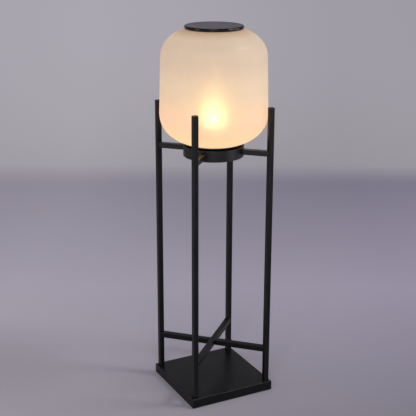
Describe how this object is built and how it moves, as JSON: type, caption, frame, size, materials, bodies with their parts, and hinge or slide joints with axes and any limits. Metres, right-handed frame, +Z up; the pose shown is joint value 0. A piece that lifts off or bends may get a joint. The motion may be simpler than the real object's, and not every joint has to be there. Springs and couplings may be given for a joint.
{
  "type": "lantern floor lamp",
  "caption": "Floor-standing lantern: a frosted barrel shade with a round solar lid sits in a shallow cup held by arms between square posts on a square base.",
  "frame": {"origin": "on the floor under the middle of the square base", "axes": "+Z up the lamp; -Y out of the side of the base with the small hole; +X to the right of that side; the posts stand at the diagonals"},
  "size_m": [0.2915, 0.2914, 1.0301],
  "materials": {
    "powder_coat": "satin black powder coat",
    "cast_slab": "rough cast concrete",
    "plated_steel": "zinc plated",
    "rubber": "matt rubber",
    "black_plastic": "fine textured",
    "cell_sleeve": "shrink sleeve",
    "board_green": "solder mask",
    "button_red": "satin",
    "lead_red": "satin insulation",
    "lead_black": "satin insulation",
    "holder_ceramic": "glazed",
    "brass": "plain",
    "nickel_cap": "bright nickel",
    "white_plastic": "satin",
    "led_white": "white solder mask with LEDs",
    "bulb_glass": "opal",
    "frosted_glass": "frosted",
    "gloss_black": "gloss black",
    "board_white": "laminate",
    "solar_blue": "silicon cells",
    "clear_window": "clear resin, slightly matt"
  },
  "bodies": {
    "stand": {"base_pan": "powder_coat", "ballast_slab": "cast_slab", "base_cover": "powder_coat", "cover_screws": "plated_steel", "rubber_feet": "rubber", "post_front": "powder_coat", "post_right": "powder_coat", "post_back": "powder_coat", "post_left": "powder_coat", "post_caps": "powder_coat", "post_plugs": "plated_steel", "post_screws": "plated_steel", "brace_long": "powder_coat", "brace_left": "powder_coat", "brace_right": "powder_coat", "arm_front": "powder_coat", "arm_right": "powder_coat", "arm_back": "powder_coat", "arm_left": "powder_coat", "lantern_cup": "powder_coat"},
    "lantern_foot": {"foot_tray": "black_plastic", "foot_lid": "black_plastic", "foot_screws": "plated_steel", "foot_pad": "rubber", "battery_holder": "black_plastic", "battery_cells": "cell_sleeve", "control_board": "board_green", "board_parts": "black_plastic", "board_screws": "plated_steel", "switch_body": "black_plastic", "inner_leads": "lead_red", "lamp_holder": "holder_ceramic", "holder_contact": "brass", "holder_screws": "plated_steel", "contact_socket": "black_plastic"},
    "button": {"power_button": "button_red"},
    "bulb": {"bulb_cap": "nickel_cap", "bulb_body": "white_plastic", "led_board": "led_white", "bulb_globe": "bulb_glass"},
    "shade": {"glass_shade": "frosted_glass", "shade_collar": "black_plastic", "collar_nut": "black_plastic", "collar_gaskets": "rubber", "contact_plug": "black_plastic", "panel_lead": "lead_black", "lead_clips": "white_plastic", "cap_shell": "gloss_black", "cap_seal": "rubber", "junction_box": "black_plastic", "panel_board": "board_white", "solar_cells": "solar_blue", "panel_window": "clear_window"}
  },
  "joints": [
    {"name": "lantern_lift", "type": "slide", "parent": "stand", "child": "lantern_foot", "axis": [0, 0, 1], "range_m": [0, 0.142]},
    {"name": "shade_lift", "type": "slide", "parent": "lantern_foot", "child": "shade", "axis": [0, 0, 1], "range_m": [0, 0.126]},
    {"name": "bulb_out", "type": "slide", "parent": "lantern_foot", "child": "bulb", "axis": [0, 0, 1], "range_m": [0, 0.03]},
    {"name": "power_press", "type": "slide", "parent": "lantern_foot", "child": "button", "axis": [0, 0, 1], "range_m": [0, 0.0016], "stiffness_N_per_m": 400, "springref_m": -0.0015}
  ]
}
